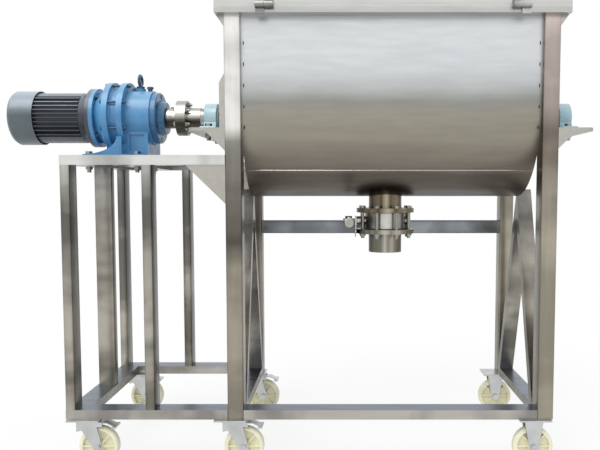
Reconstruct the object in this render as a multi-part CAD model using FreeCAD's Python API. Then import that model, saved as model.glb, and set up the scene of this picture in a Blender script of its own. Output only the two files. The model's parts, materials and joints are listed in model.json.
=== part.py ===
"""Ribbon blender: a U trough in a tube frame on casters, with a foot-mounted gearmotor on a stand beside it.

Millimetres, +Z up, floor at Z = 0. X runs along the agitator shaft, the drive at -X. The sizes below are given
about the middle of the trough, and every solid is moved at the end so that the origin is under the middle of the
whole machine's footprint.
"""
import math
import os

import FreeCAD
import Part

Vector = FreeCAD.Vector
X, Y, Z = Vector(1, 0, 0), Vector(0, 1, 0), Vector(0, 0, 1)

# Fits and small gaps
RUNNING = 0.05           # radial clearance of a turning shaft in its bore
GAP = 0.5                # air between faces that pass each other
TUBE_WALL = 3.0

# Trough
TROUGH_LENGTH = 920.0    # over the end plates
TROUGH_RADIUS = 270.0    # outside of the U
TROUGH_SHEET = 4.0
END_PLATE = 6.0
SHAFT_HEIGHT = 1122.0
RIM_HEIGHT = 1401.0      # underside of the rim
RIM_THICK = 19.0
RIM_OVERHANG_X = 24.0    # past the posts
RIM_OVERHANG_Y = 24.0
GASKET_THICK = 3.0
GASKET_WIDTH = 26.0
LID_SKIRT = 27.0
LID_SHEET = 3.0
LID_CROWN = 14.0         # raised middle of the lid
LID_CROWN_MARGIN = 70.0

# Lid hinges and handle
HINGE_SPREAD = 766.0     # between the middles of the two hinges
HINGE_KNUCKLE = 27.0     # length of each half
HINGE_BARREL = 10.0      # radius
HINGE_PIN = 5.0          # radius
HINGE_STANDOFF = 11.0    # pin axis in front of the rim face
HINGE_LEAF = 6.0
HINGE_LEAF_DROP = 25.0
HANDLE_SPAN = 160.0
HANDLE_REACH = 46.0
HANDLE_RADIUS = 7.0

# Main frame
POST_WIDTH = 50.0        # along X
POST_DEPTH = 60.0        # along Y
POST_SETOUT = 17.0       # post face in front of the trough wall
RAIL_TALL = 30.0
DECK_HEIGHT = 155.0      # underside of the frame, top of the casters
REAR_RAIL_HEIGHT = 707.0
REAR_RAIL_TALL = 50.0
REAR_RAIL_DEEP = 30.0
STRUT_THICK = 31.4       # measured level
STRUT_TOP = 876.0

# Drive stand
STAND_LENGTH = 507.0     # past the main posts
STAND_TOP = 980.0
STAND_POST = 30.0        # narrow side of its 60 x 30 tube
MID_POST_OFFSET = 227.0  # main post to the near face of the middle post
MID_POST_INSET = 4.0     # side post from the end of the stand
BEARER_WIDTH = 60.0
BEARER_OFFSET = 326.0    # main post to the middle of the inner bearer
GUSSET_LEG_X = 123.0
GUSSET_LEG_Z = 120.0
GUSSET_PLATE = 6.0

# Bearing shelves and pillow blocks
BEARING_HEIGHT = 54.0    # shaft axis above the shelf
SHELF_THICK = 10.0
SHELF_REACH = 130.0      # past the post
SHELF_HALF_WIDTH = 240.0
SHELF_CORNER = 28.0
SHELF_GUSSET = 70.0
CHEEK_WIDTH = 24.0
CHEEK_HEIGHT = 180.0
CHEEK_CHAMFER = 42.0
DRIVE_BEARING = 91.0     # block middle past the post, at the drive end
FAR_BEARING = 101.0      # the same at the other end
BLOCK_LENGTH = 190.0
BLOCK_WIDTH = 54.0
BLOCK_BASE = 19.0
BLOCK_RADIUS = 50.0
BLOCK_DOME = 40.0        # width of the round part
BLOCK_BOLT_SPREAD = 146.0
INSERT_RADIUS = 34.0
INSERT_WIDTH = 49.0
SHAFT_STUB = 5.0         # shaft past the far bearing's insert

# Agitator
SHAFT_RADIUS = 22.5      # in the bearings, the coupling and the gearbox
BARREL_RADIUS = 30.0     # between the end plates
RIBBON_CLEARANCE = 7.0   # to the trough
RIBBON_DEPTH = 40.0
RIBBON_THICK = 10.0
INNER_RADIUS = 135.0
INNER_DEPTH = 30.0
RIBBON_PITCH = 416.0
RIBBON_OVERRUN = 0.03    # of a turn, past the end spokes
RIBBON_START = 13.0      # from the middle of the trough
SPOKE_RADIUS = 11.0
GLAND_FLANGE = 52.0      # radius
GLAND_RADIUS = 38.0
GLAND_LENGTH = 42.0
GLAND_PLATE = 10.0

# Coupling
COUPLING_OFFSET = 192.0  # joint face past the post
HUB_RADIUS = 35.0
FLANGE_RADIUS = 60.0
FLANGE_THICK = 17.0
DRIVER_HUB = 36.0
DRIVEN_HUB = 47.0
COUPLING_PCD = 46.0      # bolt circle radius
COUPLING_BOLT = 5.0      # radius
COUPLING_BOLTS = 6
SET_SCREW = 5.0          # radius
SCREW_STAND = 3.0        # out of the hub
COLLAR_RADIUS = 33.0

# Gearmotor, lengths listed from the output end
CAP_OFFSET = 248.0       # output cap face past the post
CAP_RADIUS = 60.0
CAP_LENGTH = 22.0
CAP_FLANGE_RADIUS = 87.0
CAP_FLANGE_LENGTH = 18.0
HOUSING_RADIUS = 92.0
HOUSING_LENGTH = 82.0
RING_FLANGE_RADIUS = 120.0
RING_FLANGE = 19.0
RING_RADIUS = 108.0
RING_LENGTH = 30.0
RING_PCD = 112.5         # bolt circle radius
RING_BOLTS = 8
RING_BOLT = 4.5          # radius
CAP_PCD = 74.0
CAP_BOLTS = 6
ADAPTER_LENGTH = 50.0
MOTOR_FLANGE_RADIUS = 100.0
MOTOR_FLANGE = 13.0
BELL_LENGTH = 26.0
MOTOR_LENGTH = 158.0
MOTOR_RADIUS = 89.0
MOTOR_CORE = 77.0
FIN_COUNT = 36
FIN_THICK = 3.6
COVER_LENGTH = 84.0
COVER_RADIUS = 92.0
COVER_WALL = 2.5
COVER_SLOTS = 20
ROTOR_RADIUS = 14.0
FAN_RADIUS = 76.0
FAN_BLADES = 7
BOX_LENGTH = 96.0
BOX_HEIGHT = 84.0
BOX_DEPTH = 54.0
BOX_COVER = 12.0
CABLE_GLAND = 13.0       # radius
CABLE_GLAND_LENGTH = 16.0
CABLE_BORE = 7.0         # radius
FOOT_LENGTH = 216.0
FOOT_HALF_WIDTH = 118.0
FOOT_THICK = 13.0
FOOT_BOLT = 7.0          # radius
FOOT_BOLT_INSET = 20.0

# Discharge valve
BORE_RADIUS = 54.0       # inside of the neck and the spout
PIPE_WALL = 3.0
NECK_HEIGHT = 41.0       # trough bottom to flange top
PIPE_FLANGE_RADIUS = 100.0
PIPE_FLANGE = 15.0
GASKET = 2.0
VALVE_LENGTH = 54.0
VALVE_RADIUS = 70.0
VALVE_BORE = 50.0
DISC_GAP = 0.5
DISC_THICK = 6.0
STEM_RADIUS = 7.0
SPOUT_HEIGHT = 65.0
VALVE_PCD = 86.0
VALVE_BOLTS = 8
VALVE_BOLT = 6.0         # radius
LEVER_OFFSET = 128.0     # lever from the middle of the valve
LEVER_LENGTH = 190.0
QUADRANT = 58.0          # radius of the notch plate
QUADRANT_PLATE = 4.0
QUADRANT_NOTCHES = 7

# Casters
WHEEL_RADIUS = 62.5
WHEEL_WIDTH = 32.0
TRAIL = 40.0
AXLE_RADIUS = 6.0
PLATE_X = 100.0
PLATE_Y = 85.0
PLATE_THICK = 5.0
CASTER_INSET = 54.0      # outer casters from the end of the stand
JOINT_CASTER = 8.0       # middle casters from the outside of the main post
RIGID_INSET = 56.0       # rigid casters from the outside of the right post
RACE_RADIUS = 30.0
RACE_HEIGHT = 7.0
FORK_LEG = 4.0
PEDAL_PIN = 3.0          # radius
PEDAL_PIN_X = 47.0       # behind the kingpin
PEDAL_PIN_DROP = 8.0     # below the top of the fork
PEDAL_BARREL = 5.5       # radius
PEDAL_REACH = 52.0
PEDAL_SHEET = 3.0

# Worked out
HALF_TROUGH = TROUGH_LENGTH / 2
POST_X = HALF_TROUGH + POST_WIDTH                      # outer face of the posts
POST_Y = TROUGH_RADIUS + POST_SETOUT
INNER_Y = POST_Y - POST_DEPTH
RIM_X, RIM_Y = POST_X + RIM_OVERHANG_X, POST_Y + RIM_OVERHANG_Y
RIM_TOP = RIM_HEIGHT + RIM_THICK
LID_BASE = RIM_TOP + GASKET_THICK
LID_TOP = LID_BASE + LID_SKIRT
HINGE_Y, HINGE_Z = -RIM_Y - HINGE_STANDOFF, RIM_TOP + GASKET_THICK / 2
STAND_X = -POST_X - STAND_LENGTH
SHELF_TOP = SHAFT_HEIGHT - BEARING_HEIGHT
RAIL_TOP = DECK_HEIGHT + RAIL_TALL
INSIDE_RADIUS = TROUGH_RADIUS - TROUGH_SHEET
RIBBON_RADIUS = INSIDE_RADIUS - RIBBON_CLEARANCE
BLOCK_X = [-POST_X - DRIVE_BEARING, POST_X + FAR_BEARING]
COUPLING_X = -POST_X - COUPLING_OFFSET
COLLAR_X = COUPLING_X + FLANGE_THICK + DRIVEN_HUB
COLLAR_WIDTH = BLOCK_X[0] - INSERT_WIDTH / 2 - GAP - COLLAR_X
CAP_X = -POST_X - CAP_OFFSET
CAP_FLANGE_X = CAP_X - CAP_LENGTH
HOUSING_X = CAP_FLANGE_X - CAP_FLANGE_LENGTH
RING_X = HOUSING_X - HOUSING_LENGTH
ADAPTER_X = RING_X - 2 * RING_FLANGE - RING_LENGTH
MOTOR_FLANGE_X = ADAPTER_X - ADAPTER_LENGTH
BELL_X = MOTOR_FLANGE_X - MOTOR_FLANGE
MOTOR_X = BELL_X - BELL_LENGTH
COVER_X = MOTOR_X - MOTOR_LENGTH
DRIVE_END = COVER_X - COVER_LENGTH
TROUGH_BOTTOM = SHAFT_HEIGHT - TROUGH_RADIUS
NECK_FLANGE_Z = TROUGH_BOTTOM - NECK_HEIGHT
VALVE_TOP = NECK_FLANGE_Z - PIPE_FLANGE - GASKET
VALVE_BASE = VALVE_TOP - VALVE_LENGTH
STEM_Z = VALVE_TOP - VALVE_LENGTH / 2
SPOUT_FLANGE_Z = VALVE_BASE - GASKET
SPOUT_BASE = SPOUT_FLANGE_Z - PIPE_FLANGE - SPOUT_HEIGHT
CASTER_Y = POST_Y - POST_DEPTH / 2
SWIVELS = [
    ("stand_front", STAND_X + CASTER_INSET, -CASTER_Y),
    ("stand_rear", STAND_X + CASTER_INSET, CASTER_Y),
    ("main_front", -POST_X + JOINT_CASTER, -CASTER_Y),
    ("main_rear", -POST_X + JOINT_CASTER, CASTER_Y),
]
RIGIDS = [
    ("rigid_front", POST_X - RIGID_INSET, -CASTER_Y),
    ("rigid_rear", POST_X - RIGID_INSET, CASTER_Y),
]
HANDLE_Y = RIM_Y + HANDLE_REACH + HANDLE_RADIUS
FRONT_Y = HINGE_Y - HINGE_BARREL
ORIGIN = Vector((DRIVE_END + POST_X + SHELF_REACH) / 2, (FRONT_Y + HANDLE_Y) / 2, 0)


def box(x0, x1, y0, y1, z0, z1):
    return Part.makeBox(x1 - x0, y1 - y0, z1 - z0, Vector(x0, y0, z0))


def tube(x0, x1, y0, y1, z0, z1):
    """A closed length of rectangular tube."""
    w = TUBE_WALL
    return box(x0, x1, y0, y1, z0, z1).cut(box(x0 + w, x1 - w, y0 + w, y1 - w, z0 + w, z1 - w))


def rod(x, y, z, axis, length, radius):
    return Part.makeCylinder(radius, length, Vector(x, y, z), axis)


def ring(x, y, z, axis, length, outer, inner):
    return rod(x, y, z, axis, length, outer).cut(rod(x, y, z, axis, length, inner))


def plate(points, direction):
    """A polygon's outline, pushed along direction."""
    return Part.Face(Part.makePolygon([Vector(*p) for p in points + points[:1]])).extrude(direction)


def turned(profile, axis_z=SHAFT_HEIGHT):
    """A profile of (x, radius) points, revolved about the drive line."""
    points = [Vector(x, 0, axis_z + r) for x, r in profile]
    face = Part.Face(Part.makePolygon(points + points[:1]))
    return face.revolve(Vector(0, 0, axis_z), X, 360)


def hexagon(x, y, z, axis, length, across):
    """A hexagonal prism, across its flats."""
    r = across / math.sqrt(3)
    points = [Vector(r * math.cos(a), r * math.sin(a), 0) for a in (math.radians(60 * n) for n in range(7))]
    prism = Part.Face(Part.makePolygon(points)).extrude(Vector(0, 0, length))
    prism.Placement = FreeCAD.Placement(Vector(x, y, z), FreeCAD.Rotation(Z, axis))
    return prism


def fused(first, *others):
    return first.fuse(list(others)).removeSplitter()


def flipped(shape, direction):
    """The shape mirrored in the plane through the trough's middle that direction is normal to."""
    return shape.mirror(Vector(0, 0, 0), direction)


def both_sides(shape, direction):
    return [shape, flipped(shape, direction)]


def turned_copy(shape, angle, centre, axis):
    copy = shape.copy()
    copy.rotate(centre, axis, angle)
    return copy


def bolt(x, y, z, axis, grip, radius, head=None):
    """A hexagon bolt with its nut: x, y, z is under the head, axis runs from the head to the nut."""
    across = 3 * radius if head is None else head
    tall = 1.3 * radius
    away = Vector(axis).multiply(-1)
    start = Vector(x, y, z)
    nut = start + Vector(axis).multiply(grip)
    return fused(
        hexagon(x, y, z, away, tall, across),
        rod(x, y, z, axis, grip + 2 * tall, radius),
        hexagon(nut.x, nut.y, nut.z, axis, 1.2 * radius, across),
    )


def circle(count, radius):
    """The (y, z) places of count bolts on a circle round the drive line."""
    angles = [2 * math.pi * (n + 0.5) / count for n in range(count)]
    return [(radius * math.cos(a), SHAFT_HEIGHT + radius * math.sin(a)) for a in angles]


def u_outline(radius, x, top):
    """The U of the trough in the plane at x, as a wire."""
    low = Vector(x, 0, SHAFT_HEIGHT - radius)
    left, right = Vector(x, -radius, SHAFT_HEIGHT), Vector(x, radius, SHAFT_HEIGHT)
    up = Vector(0, 0, top - SHAFT_HEIGHT)
    arc = Part.Arc(left, low, right).toShape()
    sides = Part.makePolygon([right, right + up, left + up, left])
    return Part.Wire([arc] + sides.Edges)


def u_solid(radius, x0, x1, top):
    return Part.Face(u_outline(radius, x0, top)).extrude(Vector(x1 - x0, 0, 0))


def trough():
    """The bent shell, open at the top, with the discharge hole in its lowest place."""
    half = HALF_TROUGH - END_PLATE
    shell = u_solid(TROUGH_RADIUS, -half, half, RIM_HEIGHT)
    shell = shell.cut(u_solid(INSIDE_RADIUS, -half, half, RIM_HEIGHT))
    hole = rod(0, 0, TROUGH_BOTTOM - PIPE_WALL, Z, TROUGH_SHEET + 4 * PIPE_WALL, BORE_RADIUS)
    save("trough_shell", shell.cut(hole))
    end = u_solid(TROUGH_RADIUS, HALF_TROUGH - END_PLATE, HALF_TROUGH, RIM_HEIGHT)
    end = end.cut(rod(HALF_TROUGH - END_PLATE, 0, SHAFT_HEIGHT, X, END_PLATE, BARREL_RADIUS + GAP))
    save("trough_ends", *both_sides(end, X))


def rim():
    inside_x = HALF_TROUGH - END_PLATE
    frame = box(-RIM_X, RIM_X, -RIM_Y, RIM_Y, RIM_HEIGHT, RIM_TOP)
    frame = frame.cut(box(-inside_x, inside_x, -INSIDE_RADIUS, INSIDE_RADIUS, RIM_HEIGHT, RIM_TOP))
    save("rim_frame", frame)
    seal = box(-RIM_X, RIM_X, -RIM_Y, RIM_Y, RIM_TOP, LID_BASE)
    w = GASKET_WIDTH
    save("lid_gasket", seal.cut(box(w - RIM_X, RIM_X - w, w - RIM_Y, RIM_Y - w, RIM_TOP, LID_BASE)))


def lid():
    """A folded pan with a raised middle, hinged on the front edge."""
    s = LID_SHEET
    pan = box(-RIM_X, RIM_X, -RIM_Y, RIM_Y, LID_BASE, LID_TOP)
    pan = pan.cut(box(s - RIM_X, RIM_X - s, s - RIM_Y, RIM_Y - s, LID_BASE, LID_TOP - s))
    margin, slope = LID_CROWN_MARGIN, 1.6 * LID_CROWN

    def raised(z, inset):
        a, b = RIM_X - margin - inset, RIM_Y - margin - inset
        c, d = a - slope, b - slope
        low = Part.makePolygon([Vector(u * a, v * b, z) for u, v in CORNERS])
        high = Part.makePolygon([Vector(u * c, v * d, z + LID_CROWN) for u, v in CORNERS])
        return Part.makeLoft([low, high], True, True)

    crown = raised(LID_TOP, 0)
    save("lid_panel", pan.fuse(crown).cut(raised(LID_TOP - s, s)).removeSplitter())
    y = RIM_Y + HANDLE_REACH
    z = LID_BASE + LID_SKIRT / 2
    half = HANDLE_SPAN / 2
    bend = 2 * HANDLE_RADIUS
    leg = rod(half, RIM_Y, z, Y, HANDLE_REACH - bend, HANDLE_RADIUS)
    elbow = Part.makeTorus(bend, HANDLE_RADIUS, Vector(half - bend, y - bend, z), Z, -180, 180, 90)
    grip = rod(bend - half, y, z, X, 2 * (half - bend), HANDLE_RADIUS)
    save("lid_handle", fused(grip, *both_sides(leg, X), *both_sides(elbow, X)))


CORNERS = [(-1, -1), (1, -1), (1, 1), (-1, 1), (-1, -1)]


def hinges():
    rims, lids, pins = [], [], []
    for side in (-1, 1):
        x = side * HINGE_SPREAD / 2
        outer, inner = sorted((x, x + side * HINGE_KNUCKLE)), sorted((x, x - side * HINGE_KNUCKLE))
        for (x0, x1), fixed in ((outer, True), (inner, False)):
            x0, x1 = x0 + GAP / 2, x1 - GAP / 2
            barrel = rod(x0, HINGE_Y, HINGE_Z, X, x1 - x0, HINGE_BARREL)
            z0, z1 = (HINGE_Z - HINGE_LEAF_DROP, HINGE_Z) if fixed else (HINGE_Z, LID_TOP)
            leaf = box(x0, x1, -RIM_Y - HINGE_LEAF, -RIM_Y, z0, z1)
            bore = rod(x0, HINGE_Y, HINGE_Z, X, x1 - x0, HINGE_PIN + (0 if fixed else RUNNING))
            (rims if fixed else lids).append(fused(barrel, leaf).cut(bore))
        start = x - HINGE_KNUCKLE - GAP
        pins.append(rod(start, HINGE_Y, HINGE_Z, X, 2 * (HINGE_KNUCKLE + GAP), HINGE_PIN))
    save("rim_hinge_knuckles", *rims)
    save("lid_hinge_knuckles", *lids)
    save("hinge_pins", *pins)


def main_frame():
    post = tube(HALF_TROUGH, POST_X, -POST_Y, -INNER_Y, DECK_HEIGHT, RIM_HEIGHT)
    save("main_posts", *[s for p in both_sides(post, Y) for s in both_sides(p, X)])
    front = tube(-HALF_TROUGH, HALF_TROUGH, -POST_Y, -INNER_Y, DECK_HEIGHT, RAIL_TOP)
    side = tube(HALF_TROUGH, POST_X, -INNER_Y, INNER_Y, DECK_HEIGHT, RAIL_TOP)
    top = REAR_RAIL_HEIGHT + REAR_RAIL_TALL
    rear = tube(-HALF_TROUGH, HALF_TROUGH, INNER_Y, INNER_Y + REAR_RAIL_DEEP, REAR_RAIL_HEIGHT, top)
    save("main_rails", front, rear, *both_sides(side, X))
    strut = slanted_tube()
    save("main_struts", *[s for p in both_sides(strut, Y) for s in both_sides(p, X)])


def slanted_tube():
    """One leg of the inverted V in a side frame, from the foot of the front post up to the trough's end plate."""
    slope = (STRUT_TOP - RAIL_TOP) / INNER_Y

    def strip(inset_y, inset_x, end):
        foot, toe = inset_y - INNER_Y, STRUT_THICK - inset_y - INNER_Y
        rise = end * slope
        points = [
            (HALF_TROUGH + inset_x, foot + end, RAIL_TOP + rise),
            (HALF_TROUGH + inset_x, toe + end, RAIL_TOP + rise),
            (HALF_TROUGH + inset_x, -end, RAIL_TOP - (toe + end) * slope),
            (HALF_TROUGH + inset_x, -end, RAIL_TOP - (foot + end) * slope),
        ]
        return plate(points, Vector(POST_WIDTH - 2 * inset_x, 0, 0))

    return strip(0, 0, 0).cut(strip(TUBE_WALL, TUBE_WALL, TUBE_WALL))


def foot_bolts():
    """The four bolts that hold the gearbox foot to the stand."""
    grip = FOOT_THICK + RAIL_TALL
    y = FOOT_HALF_WIDTH - FOOT_BOLT_INSET
    places = [(x, side * y) for x in (STAND_X + FOOT_BOLT_INSET, -POST_X - BEARER_OFFSET) for side in (-1, 1)]
    return [bolt(x, y, STAND_TOP + FOOT_THICK, -Z, grip, FOOT_BOLT) for x, y in places]


def block_bolts():
    """The bolts of both pillow blocks."""
    fixings = []
    for x in BLOCK_X:
        for y in (-BLOCK_BOLT_SPREAD / 2, BLOCK_BOLT_SPREAD / 2):
            fixings.append(bolt(x, y, SHELF_TOP + BLOCK_BASE, -Z, BLOCK_BASE + SHELF_THICK, FOOT_BOLT))
    return fixings


def bored(shape, bolts):
    """The shape with the holes that these bolts need."""
    return shape.cut(bolts)


def stand():
    s, w = STAND_POST, POST_DEPTH
    top_rail = STAND_TOP - RAIL_TALL
    mid_x = -POST_X - MID_POST_OFFSET
    corner = tube(STAND_X, STAND_X + s, -POST_Y, -INNER_Y, RAIL_TOP, top_rail)
    middle = tube(mid_x - s, mid_x, -POST_Y, -INNER_Y, RAIL_TOP, top_rail)
    side_x = STAND_X + MID_POST_INSET
    side = tube(side_x, side_x + w, -s / 2, s / 2, RAIL_TOP, top_rail)
    save("stand_posts", side, *both_sides(corner, Y), *both_sides(middle, Y))
    rails = []
    for z in (DECK_HEIGHT, top_rail):
        rails += both_sides(tube(STAND_X, -POST_X, -POST_Y, -INNER_Y, z, z + RAIL_TALL), Y)
        rails.append(tube(STAND_X, STAND_X + w + 2 * MID_POST_INSET, -INNER_Y, INNER_Y, z, z + RAIL_TALL))
    x = -POST_X - BEARER_OFFSET - BEARER_WIDTH / 2
    rails.append(tube(x, x + BEARER_WIDTH, -INNER_Y, INNER_Y, top_rail, STAND_TOP))
    save("stand_rails", *[bored(rail, foot_bolts()) for rail in rails])


def gussets():
    """Flat corner plates: stand to main posts, under the shelves, under the rim, and beside the drive bearing."""
    plates = []
    x, z = -POST_X, STAND_TOP - RAIL_TALL
    y = GUSSET_PLATE - POST_Y
    plates += both_sides(plate([(x, y, z), (x - GUSSET_LEG_X, y, z), (x, y, z - GUSSET_LEG_Z)],
                               Vector(0, GUSSET_PLATE, 0)), Y)
    z = SHELF_TOP - SHELF_THICK
    y = -SHELF_HALF_WIDTH
    under = plate([(POST_X, y, z), (POST_X + SHELF_GUSSET, y, z), (POST_X, y, z - SHELF_GUSSET)],
                  Vector(0, GUSSET_PLATE, 0))
    for g in both_sides(under, X):
        plates += both_sides(g, Y)
    low, high = SHELF_TOP, SHELF_TOP + CHEEK_HEIGHT
    cheek = plate([(x, y, low), (x - CHEEK_WIDTH, y, low), (x - CHEEK_WIDTH, y, high - CHEEK_CHAMFER),
                   (x, y, high)], Vector(0, GUSSET_PLATE, 0))
    plates += both_sides(cheek, Y)
    leg = RIM_OVERHANG_X
    y = -POST_Y + GUSSET_PLATE
    corner = plate([(POST_X, y, RIM_HEIGHT), (POST_X + leg, y, RIM_HEIGHT), (POST_X, y, RIM_HEIGHT - 1.4 * leg)],
                   Vector(0, GUSSET_PLATE, 0))
    for g in both_sides(corner, X):
        plates += both_sides(g, Y)
    save("gusset_plates", *plates)


def shelves():
    z = SHELF_TOP - SHELF_THICK
    outer = box(POST_X, POST_X + SHELF_REACH, -SHELF_HALF_WIDTH, SHELF_HALF_WIDTH, z, SHELF_TOP)
    far = [e for e in outer.Edges
           if abs(e.CenterOfMass.x - POST_X - SHELF_REACH) < 1 and abs(abs(e.CenterOfMass.y) - SHELF_HALF_WIDTH) < 1]
    outer = outer.makeFillet(SHELF_CORNER, far)
    tongue = box(HALF_TROUGH, POST_X, -INNER_Y, INNER_Y, z, SHELF_TOP)
    save("bearing_shelves", *[bored(shelf, block_bolts()) for shelf in both_sides(fused(outer, tongue), X)])


def pillow_blocks():
    save("pillow_blocks", *[bored(pillow_block(x), block_bolts()) for x in BLOCK_X])


def pillow_block(x):
    """A cast bearing block: foot, shoulders, round head and the insert that stands out of both its sides."""
    half, wide = BLOCK_LENGTH / 2, BLOCK_WIDTH / 2
    base = box(x - wide, x + wide, -half, half, SHELF_TOP, SHELF_TOP + BLOCK_BASE)
    base = base.makeFillet(BLOCK_BASE / 3, [e for e in base.Edges if e.BoundBox.ZMin > SHELF_TOP + BLOCK_BASE - 0.1])
    dome = rod(x - BLOCK_DOME / 2, 0, SHAFT_HEIGHT, X, BLOCK_DOME, BLOCK_RADIUS)
    foot, waist, z = 0.62 * half, 0.94 * BLOCK_RADIUS, SHAFT_HEIGHT - 0.35 * BLOCK_RADIUS
    side = x - BLOCK_DOME / 2
    shoulders = plate([(side, -foot, SHELF_TOP), (side, foot, SHELF_TOP), (side, waist, z), (side, -waist, z)],
                      Vector(BLOCK_DOME, 0, 0))
    insert = rod(x - INSERT_WIDTH / 2, 0, SHAFT_HEIGHT, X, INSERT_WIDTH, INSERT_RADIUS)
    block = fused(base, dome, shoulders, insert)
    return block.cut(rod(x - BLOCK_WIDTH, 0, SHAFT_HEIGHT, X, 2 * BLOCK_WIDTH, SHAFT_RADIUS + RUNNING))


def glands():
    """The packed seals on the outside of the end plates."""
    x = HALF_TROUGH
    bore = SHAFT_RADIUS + RUNNING
    body = turned([(x, bore), (x, GLAND_FLANGE), (x + GLAND_PLATE, GLAND_FLANGE), (x + GLAND_PLATE, GLAND_RADIUS),
                   (x + GLAND_LENGTH, GLAND_RADIUS), (x + GLAND_LENGTH, bore)])
    save("packing_glands", *both_sides(body, X))


def agitator():
    """Shaft, two starts of outer ribbon and two of inner ribbon in each half, of opposite hand, on round spokes."""
    inside = HALF_TROUGH - END_PLATE
    shaft_end = BLOCK_X[1] + INSERT_WIDTH / 2 + SHAFT_STUB
    shaft = turned([(COUPLING_X + GAP, 0), (COUPLING_X + GAP, SHAFT_RADIUS), (-inside, SHAFT_RADIUS),
                    (-inside, BARREL_RADIUS), (inside, BARREL_RADIUS), (inside, SHAFT_RADIUS),
                    (shaft_end, SHAFT_RADIUS), (shaft_end, 0)])
    save("agitator_shaft", shaft)
    outer_in = RIBBON_RADIUS - RIBBON_DEPTH
    inner_in = INNER_RADIUS - INNER_DEPTH
    outer = ribbon(RIBBON_RADIUS, RIBBON_DEPTH, False)
    inner = ribbon(INNER_RADIUS, INNER_DEPTH, True)
    save("outer_ribbons", *starts(outer))
    save("inner_ribbons", *starts(inner))
    sink = SPOKE_RADIUS ** 2 / 2
    spokes = []
    for quarter in range(0, 5, 2):
        x = RIBBON_START + quarter * RIBBON_PITCH / 4
        turn = 90 * quarter
        for r0, r1 in ((BARREL_RADIUS, inner_in - sink / inner_in), (INNER_RADIUS, outer_in - sink / outer_in)):
            spoke = rod(x, 0, SHAFT_HEIGHT + r0, Z, r1 - r0, SPOKE_RADIUS)
            spokes += starts(turned_copy(spoke, turn, Vector(0, 0, SHAFT_HEIGHT), X))
    save("ribbon_spokes", *spokes)


def starts(shape):
    """The shape, its copy half a turn on, and both mirrored into the other half of the trough."""
    pair = [shape, turned_copy(shape, 180, Vector(0, 0, SHAFT_HEIGHT), X)]
    return [s for p in pair for s in both_sides(p, X)]


def ribbon(radius, depth, left_hand):
    """One flat bar on edge, wound about the shaft from the middle of the trough to its +X end."""
    turns = 1 + 2 * RIBBON_OVERRUN
    height = turns * RIBBON_PITCH
    middle = radius - depth / 2
    helix = Part.makeHelix(RIBBON_PITCH, height, middle)
    t = RIBBON_THICK / 2
    section = Part.makePolygon([Vector(middle + u * depth / 2, 0, v * t) for u, v in CORNERS])
    bar = Part.Wire(helix.Edges).makePipeShell([section], True, True)
    if left_hand:
        bar = bar.mirror(Vector(0, 0, 0), Y)
    bar.rotate(Vector(0, 0, 0), Y, 90)
    bar.rotate(Vector(0, 0, 0), X, 180)
    bar.rotate(Vector(0, 0, 0), X, (360 * RIBBON_OVERRUN) * (1 if left_hand else -1))
    bar.translate(Vector(RIBBON_START - RIBBON_OVERRUN * RIBBON_PITCH, 0, SHAFT_HEIGHT))
    return bar


def coupling():
    """Two flanged hubs bolted face to face, and the collar that keeps the shaft against its bearing."""
    x, r = COUPLING_X, SHAFT_RADIUS
    driver = turned([(x, r), (x, FLANGE_RADIUS), (x - FLANGE_THICK, FLANGE_RADIUS), (x - FLANGE_THICK, HUB_RADIUS),
                     (x - FLANGE_THICK - DRIVER_HUB, HUB_RADIUS), (x - FLANGE_THICK - DRIVER_HUB, r)])
    driven = turned([(x, r), (x, FLANGE_RADIUS), (x + FLANGE_THICK, FLANGE_RADIUS), (x + FLANGE_THICK, HUB_RADIUS),
                     (x + FLANGE_THICK + DRIVEN_HUB, HUB_RADIUS), (x + FLANGE_THICK + DRIVEN_HUB, r)])
    bolts = []
    for y, z in circle(COUPLING_BOLTS, COUPLING_PCD):
        bolts.append(bolt(x - FLANGE_THICK, y, z, X, 2 * FLANGE_THICK, COUPLING_BOLT))
        hole = rod(x - FLANGE_THICK, y, z, X, 2 * FLANGE_THICK, COUPLING_BOLT)
        driver, driven = driver.cut(hole), driven.cut(hole)
    collar = ring(COLLAR_X, 0, SHAFT_HEIGHT, X, COLLAR_WIDTH, COLLAR_RADIUS, r)
    screw_x = x - FLANGE_THICK - 0.6 * DRIVER_HUB
    for axis in (Z, -Y):
        seat = Vector(screw_x, 0, SHAFT_HEIGHT) + Vector(axis).multiply(r)
        bolts.append(rod(seat.x, seat.y, seat.z, axis, HUB_RADIUS - r + SCREW_STAND, SET_SCREW))
        driver = driver.cut(rod(screw_x, 0, SHAFT_HEIGHT, axis, HUB_RADIUS + SCREW_STAND, SET_SCREW))
    save("coupling_halves", driver, driven)
    save("coupling_fixings", collar, *bolts)
    save("gearbox_output_shaft", rod(RING_X, 0, SHAFT_HEIGHT, X, x - GAP - RING_X, r))


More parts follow.
